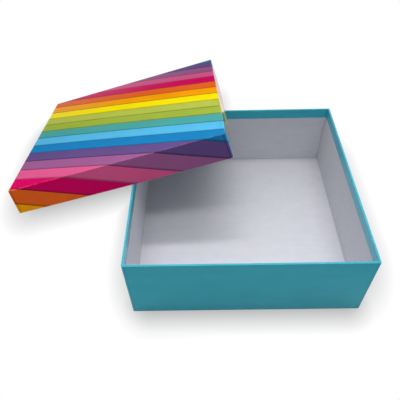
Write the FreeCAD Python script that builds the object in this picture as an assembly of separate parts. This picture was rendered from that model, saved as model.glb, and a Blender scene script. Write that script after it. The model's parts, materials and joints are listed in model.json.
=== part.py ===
import FreeCAD, Part
import math
import os

# A rigid gift box in two trays, in millimetres: a square base, and a shallower, slightly wider lid.
# The lid is off and leans on the base.  Its skirt lies on the base's left and back rims, and its far
# corner stands on the table, so it rests on three points.
#
# Each tray is made of glued pieces.  The board is one blank of chipboard, notched at its corners and
# folded up.  A strip of gummed paper, the stay, holds each corner closed.  The sheet is one piece of
# paper that covers the outside, goes over the rim and is turned in.
#
# Frame: origin at the centre of the base's underside, +Z up, the base's front towards -Y.

Vector = FreeCAD.Vector

# Driving dimensions
BASE_SIDE = 250.0
BASE_HEIGHT = 88.0
BASE_FLARE = 1.0  # how far the base's walls lean outwards at the rim
LID_SIDE = 256.6
LID_HEIGHT = 31.0
LID_FLARE = 1.5  # how far the lid's skirt leans outwards at the rim
LID_BOW = 1.6  # how much further it has sprung outwards in the middle of each side

BOARD = 1.8  # thickness of the chipboard
PAPER = 0.2  # thickness of the pasted sheet
TURN_IN = 13.0  # how far the sheet comes down inside the rim
SEAM = 0.3  # open joint between the board's walls at each corner
LAP_INSET = 3.0  # the tabs of the sheet reach this far round the corners, below its front and back
STAY = 0.15  # thickness of the corner stays, which are pressed into the board
STAY_LEG = 12.0  # how far a stay reaches from its corner along each wall
STAY_CLEAR = 2.0  # from the ends of a stay to the tray's underside and rim

FOLD_RADIUS = 0.9  # outside of the sheet, round the closed panel
CORNER_RADIUS = 1.1  # outside of the sheet, down the upright corners
RIM_RADIUS = 0.3  # both edges of the rim, where the sheet goes over the board

# Where the leaning lid touches the base
FRONT_SKIRT_REST = 11.0  # along the lid's front skirt, from its middle
SIDE_SKIRT_REST = 1.0  # along the lid's right skirt, from its middle
LEFT_RIM_REST = -12.0  # along the base's left rim, from its middle

WALL = PAPER + BOARD + PAPER  # thickness of a wall at its rim
REACH = 5.0  # how far a tool passes beyond what it cuts


class Tray:
    """One tray in its own frame: closed panel at z = 0, open rim at z = height, centred on Z."""

    def __init__(self, side, height, flare, bow=0.0):
        self.half = side / 2
        self.height = height
        self.flare = flare
        self.bow = bow

    def half_at(self, z):
        """From the middle to the outside of a corner at height z."""
        return self.half + self.flare * z / self.height

    def bow_at(self, along, z):
        """How far a wall stands out at a place along it, counted from its middle."""
        return self.bow * z / self.height * (1 - (along / self.half) ** 2)

    def outline(self, inset, z):
        """The wire round the tray at height z, drawn in by inset."""
        reach = self.half_at(z) - inset
        out = reach + self.bow_at(0.0, z)
        corners = [Vector(reach * x, reach * y, z) for x, y in ((1, -1), (1, 1), (-1, 1), (-1, -1))]
        middles = [Vector(out * x, out * y, z) for x, y in ((1, 0), (0, 1), (-1, 0), (0, -1))]
        edges = []
        for start, middle, end in zip(corners, middles, corners[1:] + corners[:1]):
            wall = Part.Arc(start, middle, end) if self.bow else Part.LineSegment(start, end)
            edges.append(wall.toShape())
        return Part.Wire(edges)

    def slab(self, low, high):
        """Everything from z = low to z = high."""
        width = 2 * (self.half + self.flare + self.bow + REACH)
        return Part.makeBox(width, width, high - low, Vector(-width / 2, -width / 2, low))

    def bars(self, outer, inner, low, high):
        """Two bars along Y that lean with the side walls, between two distances inside them."""
        depth = self.half + self.flare + self.bow + REACH
        sides = [(outer, low), (inner, low), (inner, high), (outer, high)]
        points = [Vector(self.half_at(z) - inset, -depth, z) for inset, z in sides]
        bar = Part.Face(Part.makePolygon(points + points[:1])).extrude(Vector(0, 2 * depth, 0))
        return Part.makeCompound([bar, bar.mirror(Vector(), Vector(1, 0, 0))])

    def block(self, inset, low, high):
        """The solid inside the tray's outer face drawn in by inset, from low to high."""
        ends = [self.outline(inset, -REACH), self.outline(inset, self.height + REACH)]
        return Part.makeLoft(ends, True, True).common(self.slab(low, high)).Solids[0]

    def rounded_block(self, inset, low, high):
        """A block with round upright corners."""
        solid = self.block(inset, low, high)
        uprights = [e for e in solid.Edges if e.BoundBox.ZLength > 0.9 * (high - low)]
        return solid.makeFillet(CORNER_RADIUS - inset, uprights)

    def folded_block(self, inset, low, high):
        """A block with round upright corners and a round fold about the closed panel."""
        solid = self.rounded_block(inset, low, high)
        return solid.makeFillet(FOLD_RADIUS - inset, level_edges(solid, low))

    def board(self):
        """The chipboard: one blank folded up, its walls parted at the corners by a narrow seam."""
        blank = self.folded_block(PAPER, PAPER, self.height - PAPER)
        pocket = self.block(PAPER + BOARD, PAPER + BOARD, self.height + REACH)
        return blank.cut(pocket).cut(self.seams()).cut(self.stays()).Solids[0]

    def seams(self):
        """Slots that end the front and back walls just short of the side walls."""
        inner = PAPER + BOARD
        return self.bars(inner, inner + SEAM, inner, self.height + REACH)

    def stays(self):
        """Four strips of gummed paper, each folded round one upright corner of the board."""
        low, high = STAY_CLEAR, self.height - STAY_CLEAR
        skin = self.rounded_block(PAPER, low, high).cut(self.rounded_block(PAPER + STAY, low, high))
        gap = self.half - STAY_LEG
        size = STAY_LEG + REACH
        corners = []
        for x in (-gap - size, gap):
            for y in (-gap - size, gap):
                corners.append(Part.makeBox(size, size, self.height, Vector(x, y, 0)))
        return Part.makeCompound(skin.common(Part.makeCompound(corners)).Solids)

    def sheet(self):
        """The paper: round the board, over its rim and turned in, lapped at each corner."""
        skin = self.folded_block(0.0, 0.0, self.height)
        skin = skin.makeFillet(RIM_RADIUS, level_edges(skin, self.height))
        skin = skin.fuse(self.laps())
        skin = skin.cut(self.folded_block(PAPER, PAPER, self.height - PAPER))
        skin = skin.cut(self.block(WALL, self.height - TURN_IN, self.height + REACH))
        hem = self.block(PAPER + BOARD, self.height - TURN_IN, self.height - PAPER)
        hem = hem.cut(self.block(WALL, 0.0, self.height + REACH))
        return skin.fuse(hem).removeSplitter().Solids[0]

    def laps(self):
        """The ends of the sheet's front and back panels, raised by the tabs below them."""
        low, high = FOLD_RADIUS, self.height - RIM_RADIUS
        proud = self.block(-PAPER, low, high).cut(self.block(PAPER / 2, 0.0, self.height))
        laps = proud.common(self.bars(CORNER_RADIUS + PAPER, LAP_INSET, low, high)).Solids
        return [lap for lap in laps if abs(lap.CenterOfMass.y) > self.half / 2]


def level_edges(solid, z):
    """The edges of a solid that lie flat at height z."""
    return [e for e in solid.Edges if e.BoundBox.ZLength < 1e-4 and abs(e.BoundBox.ZMax - z) < 1e-4]


def leaning(lid, base):
    """The placement that leans the upturned lid on the base's left and back rims and on the table."""
    rim = base.half_at(base.height)
    inner = lid.half_at(lid.height) - WALL
    front = Vector(FRONT_SKIRT_REST, -inner - lid.bow_at(FRONT_SKIRT_REST, lid.height), 0)
    side = Vector(inner + lid.bow_at(SIDE_SKIRT_REST, lid.height), SIDE_SKIRT_REST, 0)
    span = side.sub(front)

    left_rest = Vector(-rim, LEFT_RIM_REST, base.height)
    run_back = rim - LEFT_RIM_REST
    run_right = math.sqrt(span.Length ** 2 - run_back ** 2)
    rests = Vector(run_right, run_back, 0)
    turn = math.degrees(math.atan2(rests.y, rests.x) - math.atan2(span.y, span.x))

    corner = lid.half_at(lid.height) - CORNER_RADIUS * (1 - math.sqrt(0.5))
    corner_reach = span.cross(Vector(-corner, corner, 0).sub(front)).z / span.Length
    tip = math.degrees(math.asin(base.height / corner_reach))

    upturned = FreeCAD.Placement(Vector(0, 0, lid.height), FreeCAD.Rotation(Vector(1, 0, 0), 180))
    level = FreeCAD.Placement(left_rest.sub(front), FreeCAD.Rotation(Vector(0, 0, 1), turn), front)
    tipped = FreeCAD.Placement(Vector(0, 0, 0), FreeCAD.Rotation(rests, -tip), left_rest)
    return tipped.multiply(level).multiply(upturned)


def main():
    base = Tray(BASE_SIDE, BASE_HEIGHT, BASE_FLARE)
    lid = Tray(LID_SIDE, LID_HEIGHT, LID_FLARE, LID_BOW)
    parts = {
        "base_board": base.board(),
        "base_corner_stays": base.stays(),
        "base_wrap": base.sheet(),
        "lid_board": lid.board(),
        "lid_corner_stays": lid.stays(),
        "lid_wrap": lid.sheet(),
    }
    lean = leaning(lid, base).toMatrix()
    os.makedirs("parts", exist_ok=True)
    for name, shape in parts.items():
        if name.startswith("lid"):
            shape = shape.transformed(lean, True)
        shape.exportStep(f"parts/{name}.step")
        print(name, shape.ShapeType, shape.isValid(), round(shape.Volume), len(shape.Faces))


main()
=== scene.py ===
"""A rigid gift box in two trays: a square base, and a striped lid that leans on it.

The chipboard trays and the gummed stays at their corners are the frame's own.  The paper sheet of
each tray is folded here as a box maker folds it: round the board, over the rim and turned in, with
the front and back panels lapped over the tabs that come round the corners.
"""

import json
import logging
import math
from collections.abc import Callable, Iterable, Mapping, Sequence
from dataclasses import dataclass
from enum import Enum
from functools import reduce

import bmesh
import bpy
from mathutils import Matrix, Vector

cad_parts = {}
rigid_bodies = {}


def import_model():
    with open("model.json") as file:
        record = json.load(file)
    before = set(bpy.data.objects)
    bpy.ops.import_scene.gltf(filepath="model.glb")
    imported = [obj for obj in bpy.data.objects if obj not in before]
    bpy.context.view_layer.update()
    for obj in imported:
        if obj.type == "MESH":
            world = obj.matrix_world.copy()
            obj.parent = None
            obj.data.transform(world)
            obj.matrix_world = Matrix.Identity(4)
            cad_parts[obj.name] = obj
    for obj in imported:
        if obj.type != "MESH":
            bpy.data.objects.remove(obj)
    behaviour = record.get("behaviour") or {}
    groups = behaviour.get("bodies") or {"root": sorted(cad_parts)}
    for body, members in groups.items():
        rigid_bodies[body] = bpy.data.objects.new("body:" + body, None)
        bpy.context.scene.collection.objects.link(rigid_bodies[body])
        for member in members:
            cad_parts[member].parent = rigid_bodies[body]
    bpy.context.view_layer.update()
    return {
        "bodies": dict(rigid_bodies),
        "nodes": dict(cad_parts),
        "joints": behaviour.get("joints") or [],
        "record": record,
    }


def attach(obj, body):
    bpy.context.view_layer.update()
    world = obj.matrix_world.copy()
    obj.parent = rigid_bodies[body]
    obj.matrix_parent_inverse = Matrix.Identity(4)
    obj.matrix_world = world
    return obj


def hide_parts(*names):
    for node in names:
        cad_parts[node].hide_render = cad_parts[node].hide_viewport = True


MM = 0.001
LOG = logging.getLogger("gift_box")
Colour = tuple[float, float, float]

LEVEL = 0.7  # the least upright part of a level face's normal
SHEET_MAP = "sheet"  # the UV map that holds each corner's place on the flat sheet
BLACK: Colour = (0.0, 0.0, 0.0)
WHITE: Colour = (1.0, 1.0, 1.0)


class Stripe(Enum):
    """The inks of the striped sheet, in the order in which they follow each other."""

    GREEN = (0.348, 0.457, 0.050)
    LIGHT_GREEN = (0.472, 0.542, 0.076)
    YELLOW = (0.980, 0.812, 0.002)
    AMBER = (0.962, 0.369, 0.002)
    ORANGE = (0.827, 0.131, 0.017)
    CRIMSON = (0.664, 0.002, 0.115)
    PINK = (0.687, 0.099, 0.261)
    ORCHID = (0.320, 0.103, 0.272)
    VIOLET = (0.125, 0.073, 0.238)
    BLUE = (0.012, 0.208, 0.488)
    LIGHT_BLUE = (0.092, 0.462, 0.749)
    TEAL = (0.068, 0.367, 0.337)


class Element(Enum):
    """What a pick in edit mode is made of, with its name in the mesh."""

    VERT = "verts"
    EDGE = "edges"
    FACE = "faces"


class Panel(Enum):
    """The three kinds of panel of a tray's sheet."""

    CLOSED = "closed"
    SIDE = "side"
    END = "end"


# ---------------------------------------------------------------------------------------------
# Materials
# ---------------------------------------------------------------------------------------------


class Value:
    """A number in a material.  Python arithmetic on it adds Math nodes."""

    def __init__(self, nodes: "Nodes", socket: bpy.types.NodeSocket) -> None:
        """Wraps the socket that gives the number."""
        self.nodes = nodes
        self.socket = socket

    def math(self, operation: str, *operands: "Value | float") -> "Value":
        """Adds one Math node.

        Args:
            operation: the node's operation.
            operands: its values, in order.

        Returns:
            The node's result.
        """
        inputs = dict(zip(("Value", "Value_001", "Value_002"), operands))
        node = self.nodes.add("ShaderNodeMath", {"operation": operation}, inputs)
        return Value(self.nodes, node.outputs[0])

    def __add__(self, other: "Value | float") -> "Value":
        """The sum."""
        return self.math("ADD", self, other)

    def __radd__(self, other: float) -> "Value":
        """The sum, with the number first."""
        return self.math("ADD", other, self)

    def __sub__(self, other: "Value | float") -> "Value":
        """The difference."""
        return self.math("SUBTRACT", self, other)

    def __rsub__(self, other: float) -> "Value":
        """The difference, with the number first."""
        return self.math("SUBTRACT", other, self)

    def __mul__(self, other: "Value | float") -> "Value":
        """The product."""
        return self.math("MULTIPLY", self, other)

    def __rmul__(self, other: float) -> "Value":
        """The product, with the number first."""
        return self.math("MULTIPLY", other, self)

    def __truediv__(self, other: "Value | float") -> "Value":
        """The quotient."""
        return self.math("DIVIDE", self, other)

    def __abs__(self) -> "Value":
        """The size without its sign."""
        return self.math("ABSOLUTE", self)

    def fract(self) -> "Value":
        """What is left after the whole number."""
        return self.math("FRACT", self)

    def larger(self, other: "Value | float") -> "Value":
        """The larger of two numbers."""
        return self.math("MAXIMUM", self, other)

    def smaller(self, other: "Value | float") -> "Value":
        """The smaller of two numbers."""
        return self.math("MINIMUM", self, other)

    @staticmethod
    def most(values: "Iterable[Value]") -> "Value":
        """The largest of several numbers."""
        return reduce(Value.larger, values)

    @staticmethod
    def least(values: "Iterable[Value]") -> "Value":
        """The smallest of several numbers."""
        return reduce(Value.smaller, values)

    def root(self) -> "Value":
        """The square root."""
        return self.math("SQRT", self)

    def ease(self, low: float, high: float, start: float = 0.0, end: float = 1.0) -> "Value":
        """Goes smoothly from one number to another while this number crosses a range.

        Args:
            low: where the range starts.
            high: where it ends.
            start: the result at low and below.
            end: the result at high and above.

        Returns:
            The eased number.
        """
        inputs = {"Value": self, "From Min": low, "From Max": high, "To Min": start, "To Max": end}
        settings = {"interpolation_type": "SMOOTHSTEP"}
        node = self.nodes.add("ShaderNodeMapRange", settings, inputs)
        return Value(self.nodes, node.outputs[0])


Input = Value | bpy.types.NodeSocket | float | Sequence[float]


class Nodes:
    """The node tree of one material or world, emptied and ready to be filled."""

    def __init__(self, owner: bpy.types.Material | bpy.types.World) -> None:
        """Empties the owner's node tree.

        Args:
            owner: the material or world.
        """
        owner.use_nodes = True
        self.owner = owner
        self.tree = owner.node_tree
        self.tree.nodes.clear()

    def add(
        self,
        kind: str,
        settings: Mapping[str, object] | None = None,
        inputs: Mapping[str, Input] | None = None,
    ) -> bpy.types.Node:
        """Adds a node.

        Args:
            kind: the node's type.
            settings: its own settings, and "stops" for a ramp's places and colours.
            inputs: values or links for its sockets, by identifier or name.

        Returns:
            The node.
        """
        node = self.tree.nodes.new(kind)
        for name, setting in (settings or {}).items():
            if name == "stops":
                fill_ramp(node.color_ramp, setting)
            else:
                setattr(node, name, setting)
        sockets = {socket.identifier: socket for socket in node.inputs}
        for name, value in (inputs or {}).items():
            socket = sockets.get(name) or node.inputs[name]
            source = value.socket if isinstance(value, Value) else value
            if isinstance(source, bpy.types.NodeSocket):
                self.tree.links.new(source, socket)
            else:
                socket.default_value = source
        return node

    def parts(self, vector: bpy.types.NodeSocket, *axes: str) -> list[Value]:
        """Takes numbers out of a vector.

        Args:
            vector: the vector.
            axes: the axes that are wanted.

        Returns:
            The numbers along those axes.
        """
        split = self.add("ShaderNodeSeparateXYZ", {}, {"Vector": vector})
        return [Value(self, split.outputs[axis]) for axis in axes]

    def place(self) -> bpy.types.NodeSocket:
        """The point in the frame of the whole box, in metres."""
        return self.add("ShaderNodeTexCoord").outputs["Object"]

    def noise(
        self, place: bpy.types.NodeSocket, scale: Sequence[float], detail: float = 2.0
    ) -> Value:
        """A cloudy number, mostly between 0.3 and 0.7.

        Args:
            place: the point where it is read.
            scale: waves per metre along each axis.
            detail: how many finer layers are added.

        Returns:
            The number.
        """
        settings = {"vector_type": "POINT"}
        stretched = self.add("ShaderNodeMapping", settings, {"Vector": place, "Scale": scale})
        inputs = {"Vector": stretched.outputs[0], "Scale": 1.0, "Detail": detail}
        return Value(self, self.add("ShaderNodeTexNoise", {}, inputs).outputs[0])

    def mix(self, mask: Value | float, low: Input, high: Input) -> bpy.types.NodeSocket:
        """Mixes two colours.

        Args:
            mask: how much of the second colour there is, from 0 to 1.
            low: the colour where the mask is 0.
            high: the colour where it is 1.

        Returns:
            The mixed colour.
        """
        settings = {"data_type": "RGBA"}
        inputs = {"Factor_Float": mask, "A_Color": opaque(low), "B_Color": opaque(high)}
        node = self.add("ShaderNodeMix", settings, inputs)
        return next(socket for socket in node.outputs if socket.identifier == "Result_Color")

    def scaled(self, colour: Input, factor: Value) -> bpy.types.NodeSocket:
        """Makes a colour lighter or darker by a factor."""
        inputs = {"Vector": colour, "Scale": factor}
        return self.add("ShaderNodeVectorMath", {"operation": "SCALE"}, inputs).outputs[0]

    def relief(self, height: Value, depth: float) -> bpy.types.NodeSocket:
        """Raises the surface a little: a height of 1 stands out by depth, in metres."""
        return self.add("ShaderNodeBump", {}, {"Height": height, "Distance": depth}).outputs[0]

    def surface(self, **inputs: Input) -> None:
        """Ends the material in a Principled surface.

        Args:
            inputs: values or links for its sockets, named with underscores for spaces.
        """
        sockets = {name.replace("_", " "): value for name, value in inputs.items()}
        shader = self.add("ShaderNodeBsdfPrincipled", {}, sockets)
        self.add("ShaderNodeOutputMaterial", {}, {"Surface": shader.outputs[0]})


def opaque(colour: Input) -> Input:
    """Adds an alpha of 1 to a plain colour, and leaves a link as it is."""
    return (*colour, 1.0) if isinstance(colour, tuple) and len(colour) == 3 else colour


def fill_ramp(ramp: bpy.types.ColorRamp, stops: Sequence[tuple[float, Colour]]) -> None:
    """Fills a colour ramp with stops that keep their colour up to the next one.

    Args:
        ramp: the ramp, which has two stops to start with.
        stops: the place and the colour of each stop.
    """
    ramp.interpolation = "CONSTANT"
    for index, (position, colour) in enumerate(stops):
        stop = ramp.elements[index] if index < 2 else ramp.elements.new(position)
        stop.position = position
        stop.color = opaque(colour)


@dataclass(frozen=True)
class Texture:
    """A cloudy pattern: its waves per metre along each axis, and how many finer layers it has."""

    waves: tuple[float, float, float]
    detail: float

    def read(self, nodes: Nodes, place: bpy.types.NodeSocket) -> Value:
        """The pattern's number at a place, mostly between 0.3 and 0.7."""
        return nodes.noise(place, self.waves, self.detail)


@dataclass(frozen=True)
class Lamination:
    """The clear film over the print: how the sheet shines, and where its folds have worn and are
    lightened by a painted highlight.

    Widths are in millimetres on the flat sheet, and the grain is in metres.  The film is glossy
    where it is seen at a slant, past the grazing limits.
    """

    roughness: float = 0.30
    coat: float = 0.02
    shine: float = 1.0
    grazing: tuple[float, float] = (0.67, 0.80)
    coat_roughness: float = 0.10
    # lighter paper along each fold: partly real wear, partly a painted highlight
    wear_and_highlight_width: float = 0.55
    wear_and_highlight: float = 0.12
    worn_and_highlit_colour: Colour = (0.80, 0.80, 0.82)
    worn_roughness: float = 0.3
    # painted shadow: a thin dark line along the border of each tab under the front and back panels
    lap_shadow_width: float = 1.0
    lap_shadow: float = 0.45
    mottle: float = 0.14
    mottle_roughness: float = 0.06
    grain: float = 0.02 * MM
    cloud: Texture = Texture((45, 45, 45), 3)
    fibre: Texture = Texture((1400, 1400, 1400), 2)
    # patches that break up the worn and painted-highlight lines along the folds
    wear_and_highlight_patches: Texture = Texture((260, 260, 260), 3)
    wear_and_highlight_patch_range: tuple[float, float] = (0.35, 0.65)

    def dress(
        self,
        nodes: Nodes,
        colour: bpy.types.NodeSocket,
        flat: "FlatSheet",
        place: tuple[Value, Value],
    ) -> None:
        """Ends a material in the printed paper under its film.

        Args:
            nodes: the material's nodes.
            colour: the print.
            flat: the blank that the sheet is cut from.
            place: the place on it.
        """
        point = nodes.place()
        cloud = self.cloud.read(nodes, point)
        fibre = self.fibre.read(nodes, point)
        patchy_wear_and_highlight = self.wear_and_highlight_patches.read(nodes, point).ease(*self.wear_and_highlight_patch_range)
        facing = nodes.add("ShaderNodeLayerWeight", {}, {"Blend": 0.5}).outputs["Facing"]
        gloss = Value(nodes, facing).ease(*self.grazing, self.coat, self.shine)
        # real wear and a painted highlight: folds lightened towards the worn colour, in patches
        worn_and_highlit = flat.folds(*place).ease(0.0, self.wear_and_highlight_width, 1.0, 0.0) * patchy_wear_and_highlight * self.wear_and_highlight
        # painted shadow along the lapped tabs' borders darkens the print there
        lap_shadow = flat.laps(*place).ease(0.0, self.lap_shadow_width, 1 - self.lap_shadow, 1.0)
        tone = (1 - self.mottle / 2 + cloud * self.mottle) * lap_shadow
        printed = nodes.scaled(colour, tone)
        nodes.surface(
            Base_Color=nodes.mix(worn_and_highlit, printed, self.worn_and_highlit_colour),
            Roughness=self.roughness + cloud * self.mottle_roughness + worn_and_highlit * self.worn_roughness,
            Specular_IOR_Level=0.0,
            Coat_Weight=gloss,
            Coat_Roughness=self.coat_roughness,
            Normal=nodes.relief(fibre, self.grain),
        )


@dataclass(frozen=True)
class FlatSheet:
    """The flat blank of a tray's sheet, on which the print and the folds are laid out.

    Sizes are in millimetres, from the middle of the closed panel.
    """

    blank: float
    half: float
    height: float
    lap_inset: float

    def plan(self, nodes: Nodes) -> tuple[Value, Value]:
        """Reads the place on the flat sheet.

        Args:
            nodes: the material's nodes.

        Returns:
            How far it lies to the right, and how far away from the front.
        """
        flat = nodes.add("ShaderNodeUVMap", {"uv_map": SHEET_MAP}).outputs[0]
        right, away = nodes.parts(flat, "X", "Y")
        return (right - 0.5) * self.blank, (away - 0.5) * self.blank

    def folds(self, right: Value, away: Value) -> Value:
        """Measures to the nearest fold: round the closed panel, round the rim, down a corner.

        Args:
            right: how far the place lies to the right.
            away: how far it lies away from the front.

        Returns:
            The distance.
        """
        far, near = abs(right).larger(abs(away)), abs(right).smaller(abs(away))
        panel = abs(far - self.half)
        rim = abs(far - (self.half + self.height))
        return panel.smaller(rim).smaller(abs(near - self.half))

    def laps(self, right: Value, away: Value) -> Value:
        """The distance to the nearest border of a tab under the front or back panel."""
        inset = self.half - self.lap_inset
        return abs(abs(right) - inset).larger(self.half - abs(away))


@dataclass(frozen=True)
class StripedPrint:
    """Slanting bands of ink, each with the shadow of the next along its lower border.

    Widths are in millimetres on the flat sheet, and the slant is in degrees.
    """

    flat: FlatSheet
    film: Lamination
    pitch: float = 19.9
    slant: float = 21.46
    first: float = -23.5
    shadow: float = 3.2
    depth: float = 0.38
    streak: float = 0.10
    streaks_along: float = 0.02
    streaks_across: float = 14.0
    streak_detail: float = 3

    def material(self, name: str) -> bpy.types.Material:
        """Makes the material.

        Args:
            name: its name.

        Returns:
            The material.
        """
        nodes = Nodes(bpy.data.materials.new(name))
        right, away = flat_place = self.flat.plan(nodes)
        turn = math.radians(self.slant)
        band = (right * math.sin(turn) + away * math.cos(turn) - self.first) / self.pitch
        inks = [ink.value for ink in Stripe]
        stops = [(index / len(inks), ink) for index, ink in enumerate(inks)]
        place = (band / len(inks)).fract()
        ink = nodes.add("ShaderNodeValToRGB", {"stops": stops}, {"Fac": place}).outputs["Color"]
        shade = band.fract().ease(0.0, self.shadow / self.pitch, self.depth, 1.0)
        along = right * math.cos(turn) - away * math.sin(turn)
        strokes = {"X": along * self.streaks_along, "Y": band * self.streaks_across, "Z": 0.0}
        brush = nodes.add("ShaderNodeCombineXYZ", {}, strokes).outputs[0]
        stroke = nodes.noise(brush, (1, 1, 1), self.streak_detail) - 0.5
        shade = shade * (1 + stroke * self.streak)
        self.film.dress(nodes, nodes.scaled(ink, shade), self.flat, flat_place)
        return nodes.owner


@dataclass(frozen=True)
class PlainPrint:
    """One ink all over the sheet, a little thinner where the roller carried less of it."""

    flat: FlatSheet
    film: Lamination
    ink: Colour
    thin_ink: Colour
    roller: Texture = Texture((14, 14, 90), 2)
    roller_range: tuple[float, float] = (0.3, 0.7)

    def material(self, name: str) -> bpy.types.Material:
        """Makes the material.

        Args:
            name: its name.

        Returns:
            The material.
        """
        nodes = Nodes(bpy.data.materials.new(name))
        roller = self.roller.read(nodes, nodes.place()).ease(*self.roller_range)
        ink = nodes.mix(roller, self.ink, self.thin_ink)
        self.film.dress(nodes, ink, self.flat, self.flat.plan(nodes))
        return nodes.owner


@dataclass(frozen=True)
class PlainPaper:
    """Uncoated paper or chipboard: matt, clouded, with short fibres that catch the light.

    Cloud, streak and fibre are how strongly each shows.
    """

    colour: Colour
    cloud: float = 0.10
    streak: float = 0.10
    fibre: float = 0.05
    roughness: float = 0.72
    cloud_roughness: float = 0.1
    specular: float = 0.2
    grain: float = 0.03 * MM
    clouds: Texture = Texture((90, 90, 90), 4)
    streaks: Texture = Texture((35, 240, 240), 3)
    fibres: Texture = Texture((350, 900, 900), 3)

    def material(self, name: str) -> bpy.types.Material:
        """Makes the material.

        Args:
            name: its name.

        Returns:
            The material.
        """
        nodes = Nodes(bpy.data.materials.new(name))
        place = nodes.place()
        cloud = self.clouds.read(nodes, place)
        streak = self.streaks.read(nodes, place)
        fibre = self.fibres.read(nodes, place)
        tone = 1 + (cloud - 0.5) * self.cloud + (streak - 0.5) * self.streak
        tone = tone + (fibre - 0.5) * self.fibre
        nodes.surface(
            Base_Color=nodes.scaled(self.colour, tone),
            Roughness=self.roughness + cloud * self.cloud_roughness,
            Specular_IOR_Level=self.specular,
            Normal=nodes.relief(fibre, self.grain),
        )
        return nodes.owner


# ---------------------------------------------------------------------------------------------
# Modelling
# ---------------------------------------------------------------------------------------------


def pick(element: Element, wanted: Callable[[object], bool]) -> None:
    """Selects, in edit mode, the elements that pass a test and nothing else.

    Args:
        element: the kind of element.
        wanted: the test.
    """
    bpy.ops.mesh.select_mode(type=element.name)
    bpy.ops.mesh.select_all(action="DESELECT")
    mesh = bpy.context.edit_object.data
    cage = bmesh.from_edit_mesh(mesh)
    for part in getattr(cage, element.value):
        part.select_set(wanted(part))
    cage.select_flush_mode()
    bmesh.update_edit_mesh(mesh)


def apply_modifier(piece: bpy.types.Object, kind: str, **settings: object) -> None:
    """Adds a modifier to a piece and applies it.

    Args:
        piece: the piece.
        kind: the modifier's type.
        settings: its settings, by name.
    """
    bpy.context.view_layer.objects.active = piece
    modifier = piece.modifiers.new(kind.lower(), kind)
    for name, setting in settings.items():
        setattr(modifier, name, setting)
    bpy.ops.object.modifier_apply(modifier=modifier.name)


def tray_place(board: bpy.types.Object, floor: float) -> Matrix:
    """Reads a tray's place from its board.

    The largest flat face is the outside of the closed panel.  The floor inside lies opposite, and
    its outermost corners give the middle and the direction of the walls.

    Args:
        board: the CAD node of the tray's board.
        floor: from the outside of the sheet to the floor inside.

    Returns:
        The matrix from the tray's own frame to the frame of the whole box.
    """
    mesh = board.data
    aligned = 0.9  # the least cosine between the floor inside and the closed panel
    planes: dict[tuple[float, ...], list[bpy.types.MeshPolygon]] = {}
    for face in mesh.polygons:
        level = face.normal.dot(face.center)
        key = (*(round(part, 2) for part in face.normal), round(level / MM))
        planes.setdefault(key, []).append(face)

    def area(key: tuple[float, ...]) -> float:
        """The area of all faces in one plane."""
        return sum(face.area for face in planes[key])

    outside = max(planes, key=area)
    down = -Vector(outside[:3])
    inside = max((key for key in planes if down.dot(Vector(key[:3])) > aligned), key=area)
    down = sum((face.normal * face.area for face in planes[inside]), Vector()).normalized()
    found = (mesh.vertices[index].co for face in planes[inside] for index in face.vertices)
    places = {tuple(round(part, 6) for part in point) for point in found}
    points = [Vector(point) for point in sorted(places)]
    middle = sum(points, Vector()) / len(points)
    first = max(points, key=lambda point: (point - middle).length)
    third = max(points, key=lambda point: (point - first).length)
    middle = (first + third) / 2
    second = max(points, key=lambda point: (point - middle).cross(third - first).length)
    right = max(second - first, third - second, key=lambda side: abs(side.x))
    right = (right if right.x > 0 else -right).normalized()
    matrix = Matrix((right, down.cross(right), down)).transposed().to_4x4()
    matrix.translation = middle - down * floor
    return matrix


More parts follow.
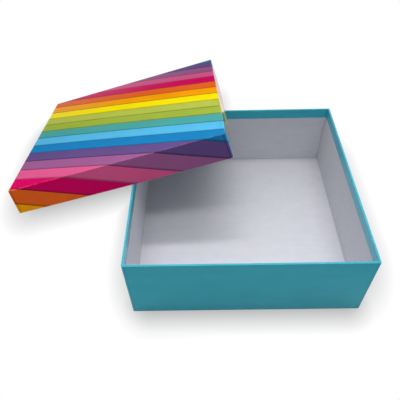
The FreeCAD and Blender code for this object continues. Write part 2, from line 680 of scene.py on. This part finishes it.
@dataclass
class TraySheet:
    """The paper sheet of one tray, folded round its board.

    Sizes are in metres, in the tray's own frame: closed panel at z = 0, open rim at z = height.
    """

    name: str
    side: float
    height: float
    flare: float = 0.0
    bow: float = 0.0
    dome: float = 0.0
    paper: float = 0.2 * MM
    board: float = 1.8 * MM
    turn_in: float = 13.0 * MM
    lap_inset: float = 3.0 * MM
    lap_step: float = 0.1 * MM
    fold_radius: float = 0.9 * MM
    fold_segments: int = 4
    corner_radius: float = 1.1 * MM
    rim_radius: float = 0.3 * MM
    rim_segments: int = 3
    cuts: int = 24
    tolerance: float = 0.01 * MM
    smooth_angle: float = math.radians(50)

    @property
    def half(self) -> float:
        """Half the side."""
        return self.side / 2

    @property
    def wall(self) -> float:
        """The thickness of a wall at its rim."""
        return self.board + 2 * self.paper

    @property
    def blank(self) -> float:
        """The side of the flat sheet that the tray is cut from."""
        return self.side + 2 * (self.height + self.wall + self.turn_in)

    def flat(self) -> FlatSheet:
        """The flat sheet, in millimetres, for the print."""
        return FlatSheet(self.blank / MM, self.half / MM, self.height / MM, self.lap_inset / MM)

    def build(
        self, place: Matrix, outside: bpy.types.Material, back: bpy.types.Material
    ) -> bpy.types.Object:
        """Models the sheet and puts it round its board.

        Args:
            place: from the tray's frame to the frame of the whole box.
            outside: the printed side.
            back: the bare side and the cut edges.

        Returns:
            The finished piece.
        """
        piece = self.fold_up()
        self.turn_in_hem()
        self.round_folds()
        self.score()
        self.lap_panels()
        bpy.ops.object.mode_set(mode="OBJECT")
        self.lay_out_print(piece)
        self.spring(piece)
        piece.data.materials.append(outside)
        piece.data.materials.append(back)
        apply_modifier(
            piece, "SOLIDIFY", thickness=self.paper, offset=-1, use_even_offset=True,
            material_offset=1, material_offset_rim=1,
        )
        piece.matrix_world = place
        bpy.ops.object.transform_apply(location=True, rotation=True, scale=True)
        bpy.ops.object.shade_smooth_by_angle(angle=self.smooth_angle)
        apply_modifier(piece, "WEIGHTED_NORMAL", weight=100, keep_sharp=True)
        LOG.info("%s: %d faces", self.name, len(piece.data.polygons))
        return piece

    def fold_up(self) -> bpy.types.Object:
        """Stands the walls up round the closed panel.

        Returns:
            The piece, in edit mode.
        """
        bpy.ops.object.select_all(action="DESELECT")
        size = (self.side, self.side, self.height)
        bpy.ops.mesh.primitive_cube_add(size=1, location=(0, 0, self.height / 2), scale=size)
        bpy.ops.object.transform_apply(location=True, rotation=True, scale=True)
        piece = bpy.context.active_object
        piece.name = piece.data.name = self.name
        bpy.ops.object.mode_set(mode="EDIT")
        pick(Element.FACE, lambda face: face.normal.z > 0.5)
        bpy.ops.mesh.delete(type="ONLY_FACE")
        self.pick_uprights()
        segments = self.fold_segments
        bpy.ops.mesh.bevel(offset=self.corner_radius, segments=segments, affect="EDGES")
        pick(Element.EDGE, lambda edge: all(vert.co.z < self.tolerance for vert in edge.verts))
        bpy.ops.mesh.bevel(offset=self.fold_radius, segments=segments, affect="EDGES")
        return piece

    def pick_uprights(self) -> None:
        """Selects the four upright corners."""

        def upright(edge: bmesh.types.BMEdge) -> bool:
            """Whether an edge goes from the closed panel to the rim."""
            return abs(edge.verts[0].co.z - edge.verts[1].co.z) > self.height / 2

        pick(Element.EDGE, upright)

    def turn_in_hem(self) -> None:
        """Takes the open edge over the rim and down inside."""
        pick(Element.EDGE, self.at_rim)
        bpy.ops.mesh.extrude_region_move(TRANSFORM_OT_translate={"value": (0, 0, 0)})
        inset = (self.half - self.wall) / self.half
        bpy.ops.transform.resize(value=(inset, inset, 1), center_override=(0, 0, self.height))
        bpy.ops.mesh.extrude_region_move(TRANSFORM_OT_translate={"value": (0, 0, -self.turn_in)})

    def at_rim(self, part: bmesh.types.BMEdge | bmesh.types.BMFace) -> bool:
        """Whether an edge or face lies flat on the rim."""
        return all(vert.co.z > self.height - self.tolerance for vert in part.verts)

    def round_folds(self) -> None:
        """Rounds both folds of the rim."""

        def folded(edge: bmesh.types.BMEdge) -> bool:
            """Whether an edge parts the rim from a wall or from the hem."""
            faces = edge.link_faces
            return self.at_rim(edge) and len(faces) == 2 and sum(map(self.at_rim, faces)) == 1

        pick(Element.EDGE, folded)
        bpy.ops.mesh.bevel(offset=self.rim_radius, segments=self.rim_segments, affect="EDGES")

    def score(self) -> None:
        """Cuts the panels into strips, so that they can curve, and along the lapped borders."""
        lap = self.half - self.lap_inset
        steps = [self.side * index / self.cuts - self.half for index in range(1, self.cuts)]
        borders = [sign * (lap + extra) for sign in (-1, 1) for extra in (0.0, self.lap_step)]
        across = steps + borders
        low, high = self.fold_radius, self.height - self.rim_radius
        levels = [low + self.lap_step, high - self.lap_step, (low + high) / 3, 2 * (low + high) / 3]
        planes = [((x, 0, 0), (1, 0, 0)) for x in across]
        planes += [((0, y, 0), (0, 1, 0)) for y in steps]
        planes += [((0, 0, z), (0, 0, 1)) for z in levels]
        for point, normal in planes:
            bpy.ops.mesh.select_all(action="SELECT")
            bpy.ops.mesh.bisect(plane_co=point, plane_no=normal)

    def lap_panels(self) -> None:
        """Lifts the ends of the front and back panels by the thickness of the tabs below them."""
        lap = self.half - self.lap_inset
        low = self.fold_radius + self.lap_step
        high = self.height - self.rim_radius - self.lap_step
        square_on = 0.97  # the least cosine between a lap and the front or back
        for sign in (-1, 1):

            def lapped(face: bmesh.types.BMFace) -> bool:
                """Whether a face lies over a tab."""
                middle = face.calc_center_median()
                level = low < middle.z < high
                return level and abs(middle.x) > lap and face.normal.y * sign > square_on

            pick(Element.FACE, lapped)
            bpy.ops.transform.translate(value=(0, sign * self.paper, 0))

    def panel_of(self, face: bpy.types.MeshPolygon) -> Panel:
        """Says which panel of the sheet a face is cut from.

        Args:
            face: the face.

        Returns:
            The panel.
        """
        normal, middle = face.normal, face.center
        if normal.z < -LEVEL:
            return Panel.CLOSED
        if normal.z > LEVEL:
            return Panel.END if abs(middle.y) > abs(middle.x) else Panel.SIDE
        return Panel.END if abs(normal.y) > 0.5 else Panel.SIDE

    def lay_out_print(self, piece: bpy.types.Object) -> None:
        """Gives each corner of each face its place on the flat sheet, as a map from 0 to 1.

        Args:
            piece: the folded sheet, in the tray's frame.
        """
        mesh = piece.data
        layer = mesh.uv_layers.active or mesh.uv_layers.new()
        layer.name = SHEET_MAP
        for face in mesh.polygons:
            panel = self.panel_of(face)
            inner = face.normal.x * face.center.x + face.normal.y * face.center.y < 0
            rim = face.normal.z > LEVEL
            for loop in face.loop_indices:
                point = mesh.vertices[mesh.loops[loop].vertex_index].co
                right, away = self.unfolded(point, panel, inner and not rim, rim)
                layer.data[loop].uv = (right / self.blank + 0.5, away / self.blank + 0.5)

    def unfolded(self, point: Vector, panel: Panel, hem: bool, rim: bool) -> tuple[float, float]:
        """Finds where a point lies when the sheet is flat, seen from its printed side.

        Args:
            point: the point, in the tray's frame.
            panel: the panel that it is read as.
            hem: whether it is on the turned-in hem.
            rim: whether it is on the rim.

        Returns:
            Its distance to the right and away from the middle of the closed panel.
        """
        if panel is Panel.CLOSED:
            return point.x, -point.y
        along, out = (point.y, point.x) if panel is Panel.SIDE else (point.x, point.y)
        depth = point.z
        if rim:
            depth = self.height + self.half - abs(out)
        elif hem:
            depth = self.height + self.wall + self.height - point.z
        reach = math.copysign(self.half + depth, out)
        return (reach, -along) if panel is Panel.SIDE else (along, -reach)

    def spring(self, piece: bpy.types.Object) -> None:
        """Leans and bows the walls outwards and domes the closed panel.

        Args:
            piece: the folded sheet, in the tray's frame.
        """
        bpy.ops.object.select_all(action="DESELECT")
        bpy.ops.object.add(type="LATTICE", location=(0, 0, self.height / 2))
        cage = bpy.context.active_object
        size = Vector((self.side, self.side, self.height))
        cage.scale = size
        lattice = cage.data
        lattice.points_u = lattice.points_v = self.cuts + 1
        lattice.points_w = 2
        lattice.interpolation_type_u = lattice.interpolation_type_v = "KEY_LINEAR"
        lattice.interpolation_type_w = "KEY_LINEAR"
        for point in lattice.points:
            x, y, z = point.co
            out_x, out_y = (self.flare + self.bow * (1 - 4 * other * other) for other in (y, x))
            swell = Vector((2 * x * out_x, 2 * y * out_y, 0)) * (z + 0.5)
            swell.z = -self.dome * (1 - 4 * x * x) * (1 - 4 * y * y) * (0.5 - z)
            point.co_deform = point.co + Vector(move / extent for move, extent in zip(swell, size))
        bpy.context.view_layer.update()
        piece.select_set(True)
        apply_modifier(piece, "LATTICE", object=cage)
        bpy.data.objects.remove(cage)


# ---------------------------------------------------------------------------------------------
# The box
# ---------------------------------------------------------------------------------------------


@dataclass(frozen=True)
class BoxPapers:
    """The unprinted papers of the box."""

    lining: bpy.types.Material
    back: bpy.types.Material
    stay: bpy.types.Material


@dataclass
class Tray:
    """One tray of the box: the frame's board and stays, and its sheet."""

    label: str
    sheet: TraySheet

    def dress(self, frame: dict, outside: bpy.types.Material, papers: BoxPapers) -> None:
        """Builds the sheet and gives the board and the stays their materials.

        Args:
            outside: the printed side of the sheet.
            papers: the other papers of the box.
        """
        nodes = frame["nodes"]
        board, stays = nodes[f"{self.label}_board"], nodes[f"{self.label}_corner_stays"]
        place = tray_place(board, self.sheet.paper + self.sheet.board)
        piece = self.sheet.build(place, outside, papers.back)
        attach(piece, "root")
        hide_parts(f"{self.label}_wrap")
        for node, finish in ((board, papers.lining), (stays, papers.stay)):
            for slot in node.material_slots:
                slot.material = finish
            LOG.info("%s: %s", node.name, finish.name)


# ---------------------------------------------------------------------------------------------
# The studio
# ---------------------------------------------------------------------------------------------


@dataclass(frozen=True)
class Camera:
    """A camera on a stand in front of the box.

    Its place and clips are in metres, its angles in degrees, its lens and sensor in millimetres.
    """

    place: Vector = Vector((-0.0432, -0.3745, 0.4466))
    yaw: float = -0.96
    down: float = 46.91
    roll: float = -1.60
    lens: float = 40.227
    sensor: float = 36.0
    clips: tuple[float, float] = (0.01, 100.0)

    def build(self) -> bpy.types.Object:
        """Adds the camera and looks through it.

        Returns:
            The camera.
        """
        bpy.ops.object.camera_add()
        camera = bpy.context.active_object
        yaw, down, roll = (math.radians(angle) for angle in (self.yaw, self.down, self.roll))
        level = math.cos(down)
        ahead = Vector((math.sin(yaw) * level, math.cos(yaw) * level, -math.sin(down)))
        right = Vector((math.cos(yaw), -math.sin(yaw), 0))
        up = right.cross(ahead)
        across = right * math.cos(roll) + up * math.sin(roll)
        upright = up * math.cos(roll) - right * math.sin(roll)
        matrix = Matrix((across, upright, -ahead)).transposed().to_4x4()
        matrix.translation = self.place
        camera.matrix_world = matrix
        camera.data.sensor_width = self.sensor
        camera.data.lens = self.lens
        camera.data.clip_start, camera.data.clip_end = self.clips
        bpy.context.scene.camera = camera
        return camera


@dataclass(frozen=True)
class SoftLamp:
    """A rectangular lamp: places and sizes in metres, power in watts, spread in degrees."""

    name: str
    place: Vector
    target: Vector
    power: float
    spread: float = 180.0
    length: float = 0.8
    width: float = 0.07

    def build(self) -> None:
        """Hangs the lamp at its place and turns it to its target."""
        turn = (self.target - self.place).to_track_quat("-Z", "Y").to_euler()
        bpy.ops.object.light_add(type="AREA", location=self.place, rotation=turn)
        lamp = bpy.context.active_object
        lamp.name = self.name
        lamp.data.shape = "RECTANGLE"
        lamp.data.size, lamp.data.size_y = self.length, self.width
        lamp.data.spread = math.radians(self.spread)
        lamp.data.energy = self.power


@dataclass(frozen=True)
class Shadow:
    """A soft shadow painted on the table: a slanting rectangle, and how far it fades out round it.

    Its near left corner, its size and its reach sideways and lengthways are in metres.
    """

    left: float
    near: float
    width: float
    depth: float
    reach: tuple[float, float]
    slope: float = 0.0

    def away(self, nodes: Nodes, place: bpy.types.NodeSocket) -> Value:
        """Measures how far a place lies outside the rectangle.

        Args:
            nodes: the table's nodes.
            place: the place.

        Returns:
            The distance in reaches: 0 inside, and 1 where the shadow ends.
        """
        x, y = nodes.parts(place, "X", "Y")
        side_reach, end_reach = self.reach
        middle_x, middle_y = self.left + self.width / 2, self.near + self.depth / 2
        across = (abs(x - middle_x) - self.width / 2).larger(0.0) / side_reach
        level = y - (x - self.left) * self.slope
        along = (abs(level - middle_y) - self.depth / 2).larger(0.0) / end_reach
        return (across * across + along * along).root()


@dataclass(frozen=True)
class Studio:
    """A white table and surroundings, the lamps and the camera.

    The sky's strengths are those of the light from behind and above and from the front, table is
    the grey that throws light back on the box, and shade the grey of the table inside its painted
    shadows.
    """

    camera: Camera = Camera()
    lamps: tuple[SoftLamp, ...] = (
        SoftLamp("front_lamp", Vector((0, -0.217, 0.8)), Vector(), power=1.63, width=0.055),
        SoftLamp(
            "back_lamp", Vector((0, 0.160, 0.8)), Vector((0, -0.14, 0)), power=0.455, spread=60.0
        ),
    )
    sky: float = 0.735
    front_sky: float = 0.21
    table: float = 0.85
    shade: float = 0.30
    extent: float = 8.0
    shadows: tuple[Shadow, ...] = (
        Shadow(-0.1027, -0.1024, width=0.2100, depth=0.1668, reach=(0.0461, 0.0534)),
        Shadow(-0.0996, -0.0581, width=0.2194, depth=0.1600, reach=(0.0628, 0.1030), slope=0.0582),
        Shadow(-0.2663, 0.0806, width=0.2131, depth=0.0915, reach=(0.0602, 0.0974), slope=0.3369),
    )

    def build(self) -> None:
        """Sets the studio up."""
        self.camera.build()
        for lamp in self.lamps:
            lamp.build()
        self.surroundings()
        self.floor()
        bpy.context.scene.view_settings.view_transform = "Standard"

    def seen(self, nodes: Nodes) -> Value:
        """Tells the rays that are seen from those that only carry light.

        Args:
            nodes: the nodes of a material or world.

        Returns:
            1 where a ray comes from the camera, a gloss or a glass, and 0 elsewhere.
        """
        path = nodes.add("ShaderNodeLightPath")
        kinds = ("Camera", "Glossy", "Transmission")
        return Value.most(Value(nodes, path.outputs[f"Is {kind} Ray"]) for kind in kinds)

    def surroundings(self) -> None:
        """Fills the world: white to the eye, and a low light on the box, most from above."""
        world = bpy.data.worlds.new("surroundings")
        bpy.context.scene.world = world
        nodes = Nodes(world)
        ahead = nodes.add("ShaderNodeTexCoord").outputs["Generated"]
        away, rise = nodes.parts(ahead, "Y", "Z")
        sky = (away + rise).larger(0.0) * self.sky + (0.0 - away).larger(0.0) * self.front_sky
        seen = self.seen(nodes)
        inputs = {"Color": opaque(WHITE), "Strength": sky * (1.0 - seen) + seen}
        light = nodes.add("ShaderNodeBackground", {}, inputs)
        nodes.add("ShaderNodeOutputWorld", {}, {"Surface": light.outputs[0]})

    def floor(self) -> None:
        """Lays the table, which keeps the cast shadows round the box, deepened by painted shadows,
        and is white further out.
        """
        bpy.ops.object.select_all(action="DESELECT")
        bpy.ops.mesh.primitive_plane_add(size=self.extent)
        table = bpy.context.active_object
        table.name = "table"
        table.data.materials.append(self.table_top())

    def table_top(self) -> bpy.types.Material:
        """Makes the table's material, in which what is seen is apart from what lights the box.

        Returns:
            The material.
        """
        nodes = Nodes(bpy.data.materials.new("table"))
        place = nodes.place()
        # painted shadows: near the box the seen table's white glow gives way to a dim grey that
        # still shows the cast shadows
        out = Value.least(shadow.away(nodes, place) for shadow in self.shadows).smaller(1.0)
        grey = nodes.mix(out, (self.shade,) * 3, BLACK)
        white = nodes.mix(out, BLACK, WHITE)
        lit = nodes.add("ShaderNodeBsdfDiffuse", {}, {"Color": grey})
        glow = nodes.add("ShaderNodeEmission", {}, {"Color": white, "Strength": 1.0})
        halves = {"Shader": lit.outputs[0], "Shader_001": glow.outputs[0]}
        both = nodes.add("ShaderNodeAddShader", {}, halves)
        plain = nodes.add("ShaderNodeBsdfDiffuse", {}, {"Color": opaque((self.table,) * 3)})
        kinds = {"Shader": plain.outputs[0], "Shader_001": both.outputs[0]}
        mixed = nodes.add("ShaderNodeMixShader", {}, {"Fac": self.seen(nodes), **kinds})
        nodes.add("ShaderNodeOutputMaterial", {}, {"Surface": mixed.outputs[0]})
        return nodes.owner


def main() -> None:
    """Sets up the studio and dresses the box."""
    logging.basicConfig(level=logging.INFO, format="%(message)s")
    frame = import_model()
    Studio().build()

    base_sheet = TraySheet("base_sheet", side=250 * MM, height=88 * MM, flare=1.0 * MM)
    lid_sheet = TraySheet(
        "lid_sheet", side=256.6 * MM, height=31 * MM, flare=1.5 * MM, bow=1.6 * MM, dome=0.7 * MM
    )
    papers = BoxPapers(
        lining=PlainPaper((0.65, 0.65, 0.70)).material("white_lining"),
        back=PlainPaper((0.82, 0.81, 0.78)).material("paper_back"),
        stay=PlainPaper((0.42, 0.27, 0.14), fibre=0.12).material("gummed_kraft"),
    )
    satin = Lamination(coat=0.12, grazing=(0.47, 0.66), wear_and_highlight=0.06, lap_shadow=0.18)
    gloss = Lamination(shine=0.8, wear_and_highlight=0.24, wear_and_highlight_width=0.8)
    turquoise = PlainPrint(
        base_sheet.flat(), satin, ink=(0.053, 0.450, 0.578), thin_ink=(0.060, 0.470, 0.602)
    )
    rainbow = StripedPrint(lid_sheet.flat(), gloss)
    Tray("base", base_sheet).dress(frame, turquoise.material("turquoise_print"), papers)
    Tray("lid", lid_sheet).dress(frame, rainbow.material("rainbow_print"), papers)


if __name__ == "__main__":
    main()
